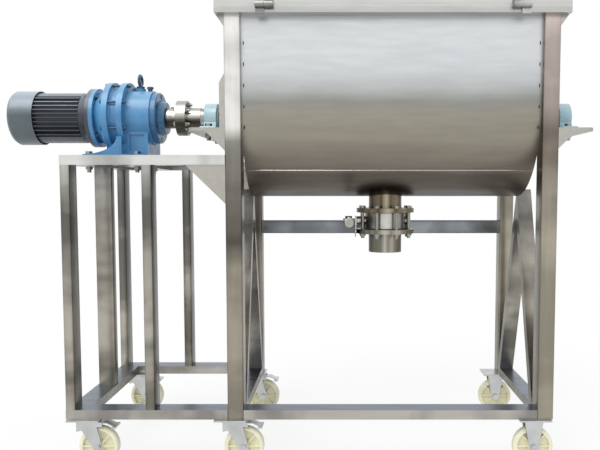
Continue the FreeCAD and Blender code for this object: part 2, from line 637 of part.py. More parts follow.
def gearbox():
    bore = SHAFT_RADIUS + RUNNING
    x = CAP_FLANGE_X
    cap = turned([(x - CAP_FLANGE_LENGTH, bore), (x - CAP_FLANGE_LENGTH, CAP_FLANGE_RADIUS), (x, CAP_FLANGE_RADIUS),
                  (x + 3, CAP_FLANGE_RADIUS - 3), (x + 3, CAP_RADIUS), (CAP_X, CAP_RADIUS - 6), (CAP_X, bore)])
    body = housing()
    ring_x0, ring_x1 = ADAPTER_X + RING_FLANGE, RING_X - RING_FLANGE
    ring_gear = turned([(ring_x0, 40), (ring_x0, RING_RADIUS), (ring_x0 + 6, RING_RADIUS - 5),
                        (ring_x1 - 6, RING_RADIUS - 5), (ring_x1, RING_RADIUS), (ring_x1, 40)])
    save("gearbox_ring", ring_gear)
    x0, x1 = MOTOR_FLANGE_X, ADAPTER_X
    lip = MOTOR_FLANGE
    adapter = turned([(x0, ROTOR_RADIUS + RUNNING), (x0, MOTOR_FLANGE_RADIUS), (x0 + lip, MOTOR_FLANGE_RADIUS),
                      (x0 + lip, MOTOR_FLANGE_RADIUS - 18), (x1, RING_RADIUS - 4),
                      (x1, RING_FLANGE_RADIUS), (x1 + RING_FLANGE, RING_FLANGE_RADIUS),
                      (x1 + RING_FLANGE, ROTOR_RADIUS + RUNNING)])
    bore = ROTOR_RADIUS + RUNNING
    bell = turned([(MOTOR_X, bore), (MOTOR_X, MOTOR_RADIUS - 4), (BELL_X, MOTOR_RADIUS - 12),
                   (BELL_X, MOTOR_FLANGE_RADIUS), (MOTOR_FLANGE_X, MOTOR_FLANGE_RADIUS), (MOTOR_FLANGE_X, bore)])
    bolts = []
    for y, z in circle(RING_BOLTS, RING_PCD):
        long_bolt = bolt(ADAPTER_X, y, z, X, RING_X - ADAPTER_X, RING_BOLT)
        bolts.append(long_bolt)
        adapter, body = adapter.cut(long_bolt), body.cut(long_bolt)
    for y, z in circle(CAP_BOLTS, CAP_PCD):
        head = fused(hexagon(x, y, z, X, RING_BOLT, 3 * RING_BOLT), rod(x, y, z, -X, CAP_FLANGE_LENGTH, RING_BOLT))
        bolts.append(head)
        cap = cap.cut(head)
    for y, z in circle(4, MOTOR_FLANGE_RADIUS - 9):
        short = bolt(BELL_X, y, z, X, 2 * MOTOR_FLANGE, RING_BOLT)
        bolts.append(short)
        adapter = adapter.cut(short)
        bell = bell.cut(short)
    save("gearbox_cap", cap)
    save("gearbox_housing", body)
    save("gearbox_adapter", adapter)
    save("motor_end_bell", bell)
    save("gearbox_bolts", *bolts)


def housing():
    """The output casting: a round barrel on a foot, with a flange towards the ring and panels in its sides."""
    x0, x1 = RING_X, HOUSING_X
    bore = SHAFT_RADIUS + RUNNING
    barrel = turned([(x0 - RING_FLANGE, bore), (x0 - RING_FLANGE, RING_FLANGE_RADIUS), (x0, RING_FLANGE_RADIUS),
                     (x0, HOUSING_RADIUS), (x1, HOUSING_RADIUS), (x1, bore)])
    half = FOOT_HALF_WIDTH
    foot_x1 = HOUSING_X - 4
    foot = box(foot_x1 - FOOT_LENGTH, foot_x1, -half, half, STAND_TOP, STAND_TOP + FOOT_THICK)
    corners = [e for e in foot.Edges if abs(e.BoundBox.ZLength - FOOT_THICK) < 0.01]
    foot = foot.makeFillet(20, corners)
    wall = 0.82 * HOUSING_RADIUS
    pedestal = box(x0 - RING_FLANGE, foot_x1 - 4, -wall, wall, STAND_TOP, SHAFT_HEIGHT)
    web = plate([(x0, -10, STAND_TOP), (foot_x1 - FOOT_LENGTH + 12, -10, STAND_TOP),
                 (foot_x1 - FOOT_LENGTH + 12, -10, STAND_TOP + 20), (x0, -10, STAND_TOP + 70)], Vector(0, 20, 0))
    clear = rod(x0 - RING_FLANGE - 200, 0, SHAFT_HEIGHT, X, 200, RING_FLANGE_RADIUS + 2)
    body = bored(fused(barrel, pedestal, foot, web.cut(clear)), foot_bolts())
    panel_x0, panel_x1 = x0 + 12, foot_x1 - 16
    for side in (-1, 1):
        y0, y1 = sorted((side * (wall - 6), side * (wall + 20)))
        body = body.cut(box(panel_x0, panel_x1, y0, y1, STAND_TOP + 24, SHAFT_HEIGHT - 62))
    boss = rod((x0 + x1) / 2 - 10, 0, SHAFT_HEIGHT, Z, HOUSING_RADIUS + 8, 18)
    body = fused(body, boss)
    body = body.cut(rod(x0 - RING_FLANGE, 0, SHAFT_HEIGHT, X, x1 - x0 + RING_FLANGE, bore))
    eye_x = (x0 + x1) / 2 - 10
    top = SHAFT_HEIGHT + HOUSING_RADIUS + 8
    eye = fused(rod(eye_x, 0, top, Z, 8, 14),
                Part.makeTorus(18, 5, Vector(eye_x, 0, top + 28), X))
    save("eye_bolt", eye)
    plug_x = x1 - 18
    save("breather_plug", fused(rod(plug_x, 0, SHAFT_HEIGHT + HOUSING_RADIUS, Z, 8, 8),
                                hexagon(plug_x, 0, SHAFT_HEIGHT + HOUSING_RADIUS + 8, Z, 7, 20)))
    return body


def motor():
    z = SHAFT_HEIGHT
    bore = ROTOR_RADIUS + RUNNING
    fin = box(MOTOR_X - MOTOR_LENGTH, MOTOR_X, -FIN_THICK / 2, FIN_THICK / 2, z + MOTOR_CORE - 4, z + MOTOR_RADIUS)
    fins = [turned_copy(fin, 360 * n / FIN_COUNT, Vector(0, 0, z), X) for n in range(FIN_COUNT)]
    core = rod(MOTOR_X - MOTOR_LENGTH, 0, z, X, MOTOR_LENGTH, MOTOR_CORE)
    body = fused(core, *fins).cut(rod(MOTOR_X - MOTOR_LENGTH, 0, z, X, MOTOR_LENGTH, bore))
    save("motor_body", body)
    r, w = COVER_RADIUS, COVER_WALL
    back = DRIVE_END
    cover = turned([(back, 0), (back, r - 16), (back + 5, r - 6), (back + 14, r), (COVER_X + 6, r),
                    (COVER_X + 6, MOTOR_RADIUS + 0.1), (COVER_X, MOTOR_RADIUS + 0.1), (COVER_X, r - w), (back + 14, r - w),
                    (back + 7, r - 6 - w), (back + w, r - 16 - w), (back + w, 0)])
    for n in range(COVER_SLOTS):
        slot = box(back - 1, back + w + 1, -2.5, 2.5, z + 22, z + r - 24)
        cover = cover.cut(turned_copy(slot, 360 * n / COVER_SLOTS, Vector(0, 0, z), X))
    save("fan_cover", cover)
    shaft = rod(back + 20, 0, z, X, ADAPTER_X - back - 20, ROTOR_RADIUS)
    hub = ring(back + 24, 0, z, X, 34, 26, ROTOR_RADIUS)
    blade = box(back + 26, back + 56, -2, 2, z + 24, z + FAN_RADIUS)
    blades = [turned_copy(blade, 360 * n / FAN_BLADES, Vector(0, 0, z), X) for n in range(FAN_BLADES)]
    save("motor_rotor", shaft, fused(hub, *blades))
    mid = MOTOR_X - MOTOR_LENGTH / 2
    half, tall = BOX_LENGTH / 2, BOX_HEIGHT / 2
    y = MOTOR_RADIUS
    case = box(mid - half, mid + half, y, y + BOX_DEPTH - BOX_COVER, z - tall, z + tall)
    lip = box(mid - half - 3, mid + half + 3, y + BOX_DEPTH - BOX_COVER, y + BOX_DEPTH, z - tall - 3, z + tall + 3)
    case = case.makeFillet(8, [e for e in case.Edges if abs(e.BoundBox.YLength - BOX_DEPTH + BOX_COVER) < 0.01])
    lip = lip.makeFillet(8, [e for e in lip.Edges if abs(e.BoundBox.YLength - BOX_COVER) < 0.01])
    entry = rod(mid - BOX_LENGTH / 4, y + BOX_DEPTH / 2, z - tall, -Z, CABLE_GLAND_LENGTH, CABLE_GLAND)
    hole = rod(mid - BOX_LENGTH / 4, y + BOX_DEPTH / 2, z - tall, -Z, CABLE_GLAND_LENGTH, CABLE_BORE)
    save("terminal_box", fused(case, lip, entry).cut(hole))


def discharge():
    pipe = BORE_RADIUS + PIPE_WALL
    z0 = NECK_FLANGE_Z - PIPE_FLANGE
    neck = fused(rod(0, 0, z0, Z, NECK_HEIGHT + 4 * PIPE_FLANGE, pipe),
                 rod(0, 0, z0, Z, PIPE_FLANGE, PIPE_FLANGE_RADIUS))
    neck = neck.cut(rod(0, 0, z0, Z, NECK_HEIGHT + 4 * PIPE_FLANGE, BORE_RADIUS))
    neck = neck.cut(rod(-PIPE_FLANGE_RADIUS, 0, SHAFT_HEIGHT, X, 2 * PIPE_FLANGE_RADIUS, TROUGH_RADIUS))
    z1 = SPOUT_FLANGE_Z - PIPE_FLANGE
    spout = fused(ring(0, 0, SPOUT_BASE, Z, SPOUT_HEIGHT, pipe, BORE_RADIUS),
                  ring(0, 0, z1, Z, PIPE_FLANGE, PIPE_FLANGE_RADIUS, BORE_RADIUS))
    body = ring(0, 0, VALVE_BASE, Z, VALVE_LENGTH, VALVE_RADIUS, VALVE_BORE)
    gland_x = PIPE_FLANGE_RADIUS + QUADRANT_PLATE + 2
    stem_boss = rod(-gland_x, 0, STEM_Z, X, gland_x - VALVE_BORE - 6, 15)
    body = fused(body, stem_boss, rod(VALVE_BORE + 6, 0, STEM_Z, X, 26, 15), notch_plate(-gland_x))
    stem_end = VALVE_BORE + 24
    body = body.cut(rod(-gland_x, 0, STEM_Z, X, gland_x + stem_end, STEM_RADIUS + RUNNING))
    gaskets = [ring(0, 0, z, Z, GASKET, PIPE_FLANGE_RADIUS - 20, BORE_RADIUS) for z in (VALVE_TOP, SPOUT_FLANGE_Z)]
    grip = z0 + PIPE_FLANGE - z1
    bolts = []
    for n in range(VALVE_BOLTS):
        a = math.radians(360 / VALVE_BOLTS * (n + 0.5))
        x, y = VALVE_PCD * math.cos(a), VALVE_PCD * math.sin(a)
        bolts.append(bolt(x, y, NECK_FLANGE_Z, -Z, grip, VALVE_BOLT))
        hole = rod(x, y, z1, Z, grip, VALVE_BOLT)
        neck, spout = neck.cut(hole), spout.cut(hole)
    save("outlet_neck", neck)
    save("valve_body", body)
    save("flange_gaskets", *gaskets)
    save("discharge_spout", spout)
    save("valve_bolts", *bolts)
    disc = rod(0, 0, STEM_Z - DISC_THICK / 2, Z, DISC_THICK, VALVE_BORE - DISC_GAP)
    stem_start = -LEVER_OFFSET - 20
    stem = rod(stem_start, 0, STEM_Z, X, stem_end - stem_start, STEM_RADIUS)
    save("valve_disc", fused(disc, stem))
    hub = ring(-LEVER_OFFSET - 12, 0, STEM_Z, X, 24, 16, STEM_RADIUS)
    bar = box(-LEVER_OFFSET - 4, -LEVER_OFFSET + 4, -LEVER_LENGTH, -14, STEM_Z - 13, STEM_Z + 13)
    grip_end = rod(-LEVER_OFFSET, -LEVER_LENGTH - 10, STEM_Z, Y, 80, 14)
    save("valve_lever", fused(hub, bar, grip_end))


def notch_plate(x):
    """The toothed quadrant beside the lever, from level to straight down."""
    t = QUADRANT_PLATE
    sector = rod(x, 0, STEM_Z, X, t, QUADRANT).common(box(x, x + t, -QUADRANT, 16, STEM_Z - QUADRANT, STEM_Z + 16))
    for n in range(QUADRANT_NOTCHES):
        tooth = box(x, x + t, -QUADRANT - 1, 6 - QUADRANT, STEM_Z - 2.5, STEM_Z + 2.5)
        sector = sector.cut(turned_copy(tooth, 90 * n / (QUADRANT_NOTCHES - 1), Vector(x, 0, STEM_Z), X))
    return sector


def casters():
    plates = []
    for name, x, y in SWIVELS:
        top = caster_plate(x, y)
        race = rod(x, y, DECK_HEIGHT - PLATE_THICK - RACE_HEIGHT, Z, RACE_HEIGHT, RACE_RADIUS)
        bore = rod(x, y, DECK_HEIGHT - PLATE_THICK - RACE_HEIGHT, Z, 2 * RACE_HEIGHT, AXLE_RADIUS + RUNNING)
        plates.append(fused(top, race).cut(bore))
        save("fork_" + name, *fork(x, y, True))
        save("wheel_" + name, wheel(x + TRAIL, y))
        save("brake_" + name, pedal(x, y))
    for name, x, y in RIGIDS:
        plates.append(caster_plate(x, y))
        plates += fork(x, y, False)
        save("wheel_" + name, wheel(x, y))
    save("caster_plates", *plates)


def caster_plate(x, y):
    z = DECK_HEIGHT - PLATE_THICK
    return box(x - PLATE_X / 2, x + PLATE_X / 2, y - PLATE_Y / 2, y + PLATE_Y / 2, z, DECK_HEIGHT)


def fork(x, y, swivel):
    """A pressed fork with its axle. A swivel fork trails behind its kingpin and carries the brake's pin."""
    top = DECK_HEIGHT - PLATE_THICK - (RACE_HEIGHT + GAP if swivel else 0)
    axle_x = x + (TRAIL if swivel else 0)
    inside = WHEEL_WIDTH / 2 + 2
    outside = inside + FORK_LEG
    z = WHEEL_RADIUS
    pin_z = top - PEDAL_PIN_DROP
    crown = box(x - 26, x + 34, y - outside, y + outside, top - FORK_LEG, top)
    if not swivel:
        crown = box(x - 30, x + 30, y - outside, y + outside, top - FORK_LEG, top)
    legs = []
    for side in (-1, 1):
        y0 = y + (inside if side > 0 else -outside)
        left, right = (x - 26, x + 34) if swivel else (x - 30, x + 30)
        leg = plate([(left, y0, top), (right, y0, top), (axle_x + 15, y0, z), (axle_x - 15, y0, z)],
                    Vector(0, FORK_LEG, 0))
        legs += [leg, rod(axle_x, y0, z, Y, FORK_LEG, 15)]
        if swivel:
            legs.append(plate([(left, y0, top), (x + PEDAL_PIN_X + 7, y0, top), (x + PEDAL_PIN_X + 7, y0, pin_z - 7),
                               (x + PEDAL_PIN_X - 7, y0, pin_z - 7), (left, y0, top - 30)], Vector(0, FORK_LEG, 0)))
    frame = fused(crown, *legs)
    if swivel:
        frame = fused(frame, rod(x + PEDAL_PIN_X, y - outside, pin_z, Y, 2 * outside, PEDAL_PIN))
    axle = fused(rod(axle_x, y - outside, z, Y, 2 * outside, AXLE_RADIUS),
                 hexagon(axle_x, y - outside, z, -Y, 7, 18), hexagon(axle_x, y + outside, z, Y, 7, 18))
    frame = frame.cut(rod(axle_x, y - outside, z, Y, 2 * outside, AXLE_RADIUS))
    if not swivel:
        return [frame, axle]
    king = rod(x, y, top - FORK_LEG, Z, RACE_HEIGHT + GAP + PLATE_THICK + FORK_LEG - 1, AXLE_RADIUS)
    return [fused(frame, king), axle]


def wheel(x, y):
    """A moulded wheel: hub, web and tread, with radial ribs on both sides of the web."""
    z, half = WHEEL_RADIUS, WHEEL_WIDTH / 2
    bore, hub, rim = AXLE_RADIUS + RUNNING, 16, WHEEL_RADIUS - 12
    profile = [(half + 1.5, bore), (half + 1.5, hub), (4, hub), (4, rim), (half - 2, rim), (half - 2, WHEEL_RADIUS - 4),
               (half - 6, WHEEL_RADIUS)]
    points = profile + [(-a, r) for a, r in reversed(profile)]
    vectors = [Vector(x, y + a, z + r) for a, r in points]
    body = Part.Face(Part.makePolygon(vectors + vectors[:1])).revolve(Vector(x, y, z), Y, 360)
    rib = box(x - 2, x + 2, y - half + 4, y + half - 4, z + hub - 1, z + rim + 1)
    ribs = [turned_copy(rib, 45 * n, Vector(x, y, z), Y) for n in range(8)]
    return fused(body, *ribs)


def pedal(x, y):
    """The brake pedal over the wheel, turning on a pin between the fork's cheeks."""
    z = DECK_HEIGHT - PLATE_THICK - RACE_HEIGHT - GAP - PEDAL_PIN_DROP
    half = WHEEL_WIDTH / 2 + 2 - GAP
    x0, y0, t = x + PEDAL_PIN_X, y - half, PEDAL_SHEET
    tip = x0 + PEDAL_REACH
    points = [(x0, y0, z + PEDAL_BARREL), (x0 + 22, y0, z + PEDAL_BARREL), (tip, y0, z - 9), (tip, y0, z - 9 - t),
              (x0 + 21, y0, z + PEDAL_BARREL - t), (x0, y0, z + PEDAL_BARREL - t)]
    barrel = rod(x0, y0, z, Y, 2 * half, PEDAL_BARREL)
    tread = box(tip - 14, tip, y - 24, y + 24, z - 9 - t, z - 9 + t)
    body = fused(barrel, plate(points, Vector(0, 2 * half, 0)), tread)
    return body.cut(rod(x0, y0, z, Y, 2 * half, PEDAL_PIN + RUNNING))


def save(name, *solids):
    shape = solids[0] if len(solids) == 1 else Part.makeCompound(list(solids))
    shape = shape.copy()
    shape.translate(ORIGIN.negative())
    shape.exportStep("parts/" + name + ".step")


os.makedirs("parts", exist_ok=True)
trough()
rim()
lid()
hinges()
main_frame()
stand()
gussets()
shelves()
pillow_blocks()
save("mounting_bolts", *block_bolts(), *foot_bolts())
glands()
agitator()
coupling()
gearbox()
motor()
discharge()
casters()
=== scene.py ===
"""Looks of the ribbon blender: stainless trough and frame, blue gearmotor, nylon casters. Metres, +Z up."""
import json
import math

import bmesh
import bpy
from mathutils import Matrix, Vector


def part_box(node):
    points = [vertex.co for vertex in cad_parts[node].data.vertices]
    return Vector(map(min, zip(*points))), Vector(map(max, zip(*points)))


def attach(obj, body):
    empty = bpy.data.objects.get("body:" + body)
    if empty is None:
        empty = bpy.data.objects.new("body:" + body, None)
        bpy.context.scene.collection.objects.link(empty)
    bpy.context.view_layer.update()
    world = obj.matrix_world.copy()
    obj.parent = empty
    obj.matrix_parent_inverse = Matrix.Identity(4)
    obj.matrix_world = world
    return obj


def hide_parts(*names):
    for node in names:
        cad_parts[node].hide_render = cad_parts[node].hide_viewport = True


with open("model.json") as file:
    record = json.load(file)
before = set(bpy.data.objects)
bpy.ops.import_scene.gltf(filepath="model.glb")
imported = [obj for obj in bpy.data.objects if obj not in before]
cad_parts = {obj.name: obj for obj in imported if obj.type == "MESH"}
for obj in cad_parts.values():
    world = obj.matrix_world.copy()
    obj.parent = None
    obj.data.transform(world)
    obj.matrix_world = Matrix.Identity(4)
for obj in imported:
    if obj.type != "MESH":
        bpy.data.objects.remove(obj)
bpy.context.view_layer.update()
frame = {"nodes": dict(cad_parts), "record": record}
RECORD = frame["record"]
BODY_OF = {node: body for body, nodes in RECORD["behaviour"]["bodies"].items() for node in nodes}
SLOT_OF = {row["node"]: row["material_slot"] for row in RECORD["subparts"]}

MM = 0.001
SHARP = math.radians(32)          # faces that meet more steeply than this keep a crisp edge
SENSOR = 36.0
LENS = 39.1
SHIFT = (-0.068, 0.013)
EYE = (0.1641, -2.3035, 0.870)
LOOK_DOWN = math.radians(3.67)
SUN_POWER = 1.5
AMBIENT = (0.72, 0.74, 0.76, 1)   # light that falls on the object from all round
FLOOR_HALF = 30
FLOOR_COLOUR = (0.95, 0.95, 0.95, 1)
FLOOR_GLOW = 0.86                 # share of the floor that is plain white when seen
WAVE = 0.035                      # metres that the painted reflection bands wander up and down
MERGE = 1e-6                      # points this close are one
INSIDE = 1e-4                     # a cavity's least distance from the outside
CAVITY_FACES = 12                 # triangles of a plain box
BARREL_CORE = 0.85                # of the barrel's radius, at the root of the fins
BARREL_CROWN = 0.97
BARREL_REACH = 0.70               # height of the outer fins
CROWN_START = 0.80                # height where the crowns begin
BARREL_PLAY = 0.99                # of the room inside the cover's outline
TUBE_FILL = 0.97                  # of its box that a straight tube's outside fills
TUBE_CORNER = 4.0 * MM
MOTOR_FINS = 10                   # on each side
FIN_THICK = 3.4 * MM
CROWN_STEPS = 12
BEAD = 1.6 * MM
BEAD_SIDES = 8
SEAM_RISE = 84.0 * MM             # above the bottom of the trough
STITCH = 12.0 * MM
STITCH_STEP = 64.0 * MM
WEB_BASE = 10.0 * MM              # inside the foot plate
WEB_INSET = 8.0 * MM              # from the edge of the foot
WEB_THICK = 9.0 * MM
WEB_LIP = 3.0 * MM
WEB_HEIGHT = 58.0 * MM
WEB_LAND = 16.0 * MM
WEB_STEPS = 14


# ---------------------------------------------------------------- camera, floor and light

def camera():
    data = bpy.data.cameras.new("view")
    data.sensor_width = SENSOR
    data.lens = LENS
    data.shift_x, data.shift_y = SHIFT
    view = bpy.data.objects.new("view", data)
    view.location = EYE
    view.rotation_euler = (math.radians(90) - LOOK_DOWN, 0, 0)
    bpy.context.collection.objects.link(view)
    bpy.context.scene.camera = view


def sun(name, energy, place, aim, angle):
    data = bpy.data.lights.new(name, "SUN")
    data.energy = energy
    data.angle = angle
    light = bpy.data.objects.new(name, data)
    light.location = place
    light.rotation_euler = (Vector(aim) - Vector(place)).to_track_quat("-Z", "Y").to_euler()
    bpy.context.collection.objects.link(light)


def seen_directly(tree):
    """1 for rays from the camera and for mirrored and refracted rays, 0 for the light on the object."""
    path = tree.nodes.new("ShaderNodeLightPath")
    total = tree.nodes.new("ShaderNodeMath")
    total.operation = "MAXIMUM"
    tree.links.new(path.outputs["Is Camera Ray"], total.inputs[0])
    tree.links.new(path.outputs["Is Glossy Ray"], total.inputs[1])
    both = tree.nodes.new("ShaderNodeMath")
    both.operation = "MAXIMUM"
    tree.links.new(total.outputs[0], both.inputs[0])
    tree.links.new(path.outputs["Is Transmission Ray"], both.inputs[1])
    return both.outputs[0]


def studio():
    world = bpy.data.worlds.new("studio")
    bpy.context.scene.world = world
    world.use_nodes = True
    tree = world.node_tree
    back = tree.nodes["Background"]
    mix = tree.nodes.new("ShaderNodeMix")
    mix.data_type = "RGBA"
    tree.links.new(seen_directly(tree), mix.inputs["Factor"])
    mix.inputs["A"].default_value = AMBIENT
    mix.inputs["B"].default_value = (1, 1, 1, 1)
    tree.links.new(mix.outputs["Result"], back.inputs["Color"])

    mesh = bpy.data.meshes.new("floor")
    bm = bmesh.new()
    bmesh.ops.create_grid(bm, x_segments=1, y_segments=1, size=FLOOR_HALF)
    bm.to_mesh(mesh)
    bm.free()
    floor = bpy.data.objects.new("floor", mesh)
    bpy.context.collection.objects.link(floor)
    pale = bpy.data.materials.new("pale_floor")
    pale.use_nodes = True
    tree = pale.node_tree
    diffuse = tree.nodes["Principled BSDF"]
    diffuse.inputs["Base Color"].default_value = FLOOR_COLOUR
    diffuse.inputs["Roughness"].default_value = 0.9
    glow = tree.nodes.new("ShaderNodeEmission")
    blend = tree.nodes.new("ShaderNodeMixShader")
    share = tree.nodes.new("ShaderNodeMath")
    share.operation = "MULTIPLY"
    share.inputs[1].default_value = FLOOR_GLOW
    tree.links.new(seen_directly(tree), share.inputs[0])
    tree.links.new(share.outputs[0], blend.inputs["Fac"])
    tree.links.new(diffuse.outputs["BSDF"], blend.inputs[1])
    tree.links.new(glow.outputs["Emission"], blend.inputs[2])
    tree.links.new(blend.outputs["Shader"], tree.nodes["Material Output"].inputs["Surface"])
    mesh.materials.append(pale)
    sun("sky", SUN_POWER, (-1.5, -2.0, 4.0), (0, 0, 0.6), math.radians(40))


# ---------------------------------------------------------------- material building blocks

def tone(red, green, blue):
    """A display colour of 0-255 channels, as linear light with alpha."""
    channels = [c / 255 for c in (red, green, blue)]
    return tuple(c / 12.92 if c <= 0.04045 else ((c + 0.055) / 1.055) ** 2.4 for c in channels) + (1.0,)


class Finish:
    """A Principled material with short ways to wire its pattern nodes."""

    def __init__(self, name, metallic=0.0, roughness=0.5, **sockets):
        self.material = bpy.data.materials.new(name)
        self.material.use_nodes = True
        self.tree = self.material.node_tree
        self.bsdf = self.tree.nodes["Principled BSDF"]
        self.bsdf.inputs["Metallic"].default_value = metallic
        self.bsdf.inputs["Roughness"].default_value = roughness
        for socket, value in sockets.items():
            self.bsdf.inputs[socket.replace("_", " ")].default_value = value

    def node(self, kind, **settings):
        made = self.tree.nodes.new("ShaderNode" + kind)
        for key, value in settings.items():
            setattr(made, key, value)
        return made

    def link(self, source, target):
        self.tree.links.new(source, target)

    def place(self, scale):
        coords = self.node("TexCoord")
        mapping = self.node("Mapping")
        mapping.inputs["Scale"].default_value = scale
        self.link(coords.outputs["Object"], mapping.inputs["Vector"])
        return mapping.outputs["Vector"]

    def noise(self, scale, detail=3.0, stretch=(1, 1, 1)):
        made = self.node("TexNoise")
        made.inputs["Scale"].default_value = scale
        made.inputs["Detail"].default_value = detail
        self.link(self.place(stretch), made.inputs["Vector"])
        return made.outputs["Fac"]

    def ramp(self, factor, stops):
        made = self.node("ValToRGB")
        ramp = made.color_ramp
        while len(ramp.elements) < len(stops):
            ramp.elements.new(0.5)
        for element, (at, colour) in zip(ramp.elements, stops):
            element.position = at
            element.color = colour if isinstance(colour, tuple) else (colour, colour, colour, 1)
        self.link(factor, made.inputs["Fac"])
        return made.outputs["Color"]

    def maths(self, operation, first, second=None, clamp=False):
        made = self.node("Math", operation=operation, use_clamp=clamp)
        for socket, value in zip(made.inputs, (first, second)):
            if value is None:
                continue
            if isinstance(value, (int, float)):
                socket.default_value = value
            else:
                self.link(value, socket)
        return made.outputs[0]

    def mix(self, factor, first, second, mode="MIX"):
        made = self.node("Mix", data_type="RGBA", blend_type=mode)
        for name, value in (("Factor", factor), ("A", first), ("B", second)):
            if isinstance(value, (int, float, tuple)):
                made.inputs[name].default_value = value
            else:
                self.link(value, made.inputs[name])
        return made.outputs["Result"]

    def stretch_to(self, value, low, high, out_low=0.0, out_high=1.0):
        made = self.node("MapRange")
        limits = (("From Min", low), ("From Max", high), ("To Min", out_low), ("To Max", out_high))
        for name, number in limits:
            made.inputs[name].default_value = number
        self.link(value, made.inputs["Value"])
        return made.outputs["Result"]

    def axis(self, name, source="Object"):
        coords = self.node("TexCoord")
        split = self.node("SeparateXYZ")
        self.link(coords.outputs[source], split.inputs[0])
        return split.outputs[name]

    def colour(self, value):
        self.link(value, self.bsdf.inputs["Base Color"])

    def rough(self, value):
        self.link(value, self.bsdf.inputs["Roughness"])

    def bump(self, height, strength, distance):
        made = self.node("Bump")
        made.inputs["Strength"].default_value = strength
        made.inputs["Distance"].default_value = distance
        self.link(height, made.inputs["Height"])
        self.link(made.outputs["Normal"], self.bsdf.inputs["Normal"])


def stainless(name, heights, low, high, grain=(1, 1, 1), roughness=0.28, sides=0.55, under=0.6,
              far=None, top=None, cloud=0.95, spread=(1, 1, 1)):
    """Polished stainless whose colour paints a reflection of a bright sky above and brown ground below.

    heights is a list of (share of the way from low to high, colour) for the painted reflection; grain
    stretches the polishing lines.
    Painted reflection patches darken it down to the share cloud, and spread stretches them; sides and under
    darken the faces that look along X and down, as painted shade.
    far is an X and the heights used beyond it; top tints the faces that look up, a painted reflection.
    """
    f = Finish(name, metallic=1.0, roughness=roughness)
    # painted reflection: the colour follows height, bright sky above and brown ground below, with a wandering
    # horizon
    wave = f.noise(3.0, 2.0, (1.0, 1.0, 0.6))
    level = f.maths("ADD", f.axis("Z"), f.maths("MULTIPLY", f.maths("SUBTRACT", wave, 0.5), WAVE))
    share = f.stretch_to(level, low, high)
    base = f.ramp(share, heights)
    # beyond far the posts get their own painted reflection heights
    if far:
        base = f.mix(f.maths("GREATER_THAN", f.axis("X"), far[0]), base, f.ramp(share, far[1]))
    streaks = f.ramp(f.noise(60.0, 4.0, grain), [(0.3, 0.91), (0.7, 1.0)])
    base = f.mix(1.0, base, streaks, "MULTIPLY")
    # patches of painted reflection darken the colour
    clouds = f.ramp(f.noise(6.0, 3.0, spread), [(0.42, cloud), (0.58, 1.0)])
    base = f.mix(1.0, base, clouds, "MULTIPLY")
    # painted shade: faces that look along X are darkened
    side = f.maths("ABSOLUTE", f.axis("X", "Normal"))
    base = f.mix(side, base, f.mix(1.0, base, (sides, sides, sides * 0.97, 1), "MULTIPLY"))
    # painted shade: faces that look down are darkened
    down = f.maths("MULTIPLY", f.axis("Z", "Normal"), -1.0, clamp=True)
    base = f.mix(down, base, f.mix(1.0, base, (under, under, under, 1), "MULTIPLY"))
    # painted reflection: faces that look up are tinted
    if top:
        base = f.mix(f.maths("MAXIMUM", f.axis("Z", "Normal"), 0.0), base, tone(*top))
    f.colour(base)
    f.rough(f.stretch_to(f.noise(40.0, 4.0, grain), 0.3, 0.7, roughness - 0.04, roughness + 0.08))
    f.bump(f.noise(220.0, 3.0, grain), 0.04, 0.0005)
    return f.material


def banded(name, along, stops, roughness=0.24, grain=(1, 1, 1), low=0.86):
    """Turned metal whose colour paints reflection bands that follow the turn of the surface along one axis,
    -1 to 1.
    """
    f = Finish(name, metallic=1.0, roughness=roughness)
    # painted reflection: light and dark bands by which way the surface faces
    bands = f.ramp(f.stretch_to(f.axis(along, "Normal"), -1.0, 1.0), steps(*stops))
    streaks = f.ramp(f.noise(70.0, 4.0, grain), [(0.3, low), (0.7, 1.0)])
    f.colour(f.mix(1.0, bands, streaks, "MULTIPLY"))
    f.rough(f.stretch_to(f.noise(50.0, 4.0, grain), 0.3, 0.7, roughness - 0.05, roughness + 0.1))
    f.bump(f.noise(240.0, 3.0, grain), 0.05, 0.0004)
    return f.material


def enamel(name, colour, darker, roughness=0.32, lumps=0.25, painted_top_light=0.0, pale=(170, 180, 188)):
    """Thick paint over a casting, with its faces that look up lightened towards pale as painted light from
    above.
    """
    f = Finish(name, roughness=roughness, Coat_Weight=0.25, Coat_Roughness=0.2)
    base = f.mix(f.ramp(f.noise(14.0, 4.0), [(0.4, 0.0), (0.7, 1.0)]), tone(*colour), tone(*darker))
    # painted light from above: faces that look up are lightened towards pale
    if painted_top_light:
        up = f.maths("MULTIPLY", f.maths("MAXIMUM", f.axis("Z", "Normal"), 0.0), painted_top_light)
        base = f.mix(up, base, tone(*pale))
    f.colour(base)
    f.rough(f.stretch_to(f.noise(30.0, 3.0), 0.3, 0.7, roughness - 0.06, roughness + 0.12))
    f.bump(f.noise(160.0, 4.0), lumps, 0.0008)
    return f.material


def plain_metal(name, colour, roughness=0.3, spots=0.8, scale=25.0):
    f = Finish(name, metallic=1.0, roughness=roughness)
    shade = f.ramp(f.noise(scale, 5.0), [(0.3, spots), (0.7, 1.0)])
    f.colour(f.mix(1.0, tone(*colour), shade, "MULTIPLY"))
    f.rough(f.stretch_to(f.noise(2 * scale, 4.0), 0.3, 0.7, roughness - 0.08, roughness + 0.12))
    f.bump(f.noise(200.0, 3.0), 0.06, 0.0005)
    return f.material


def moulded(name, colour, darker, roughness=0.45):
    f = Finish(name, roughness=roughness)
    f.colour(f.mix(f.ramp(f.noise(18.0, 4.0), [(0.4, 0.0), (0.75, 1.0)]), tone(*colour), tone(*darker)))
    f.rough(f.stretch_to(f.noise(60.0, 3.0), 0.3, 0.7, roughness - 0.05, roughness + 0.1))
    f.bump(f.noise(260.0, 3.0), 0.08, 0.0004)
    return f.material


def steps(*rows):
    """A ramp from (share, red, green, blue) rows."""
    return [(at, tone(red, green, blue)) for at, red, green, blue in rows]


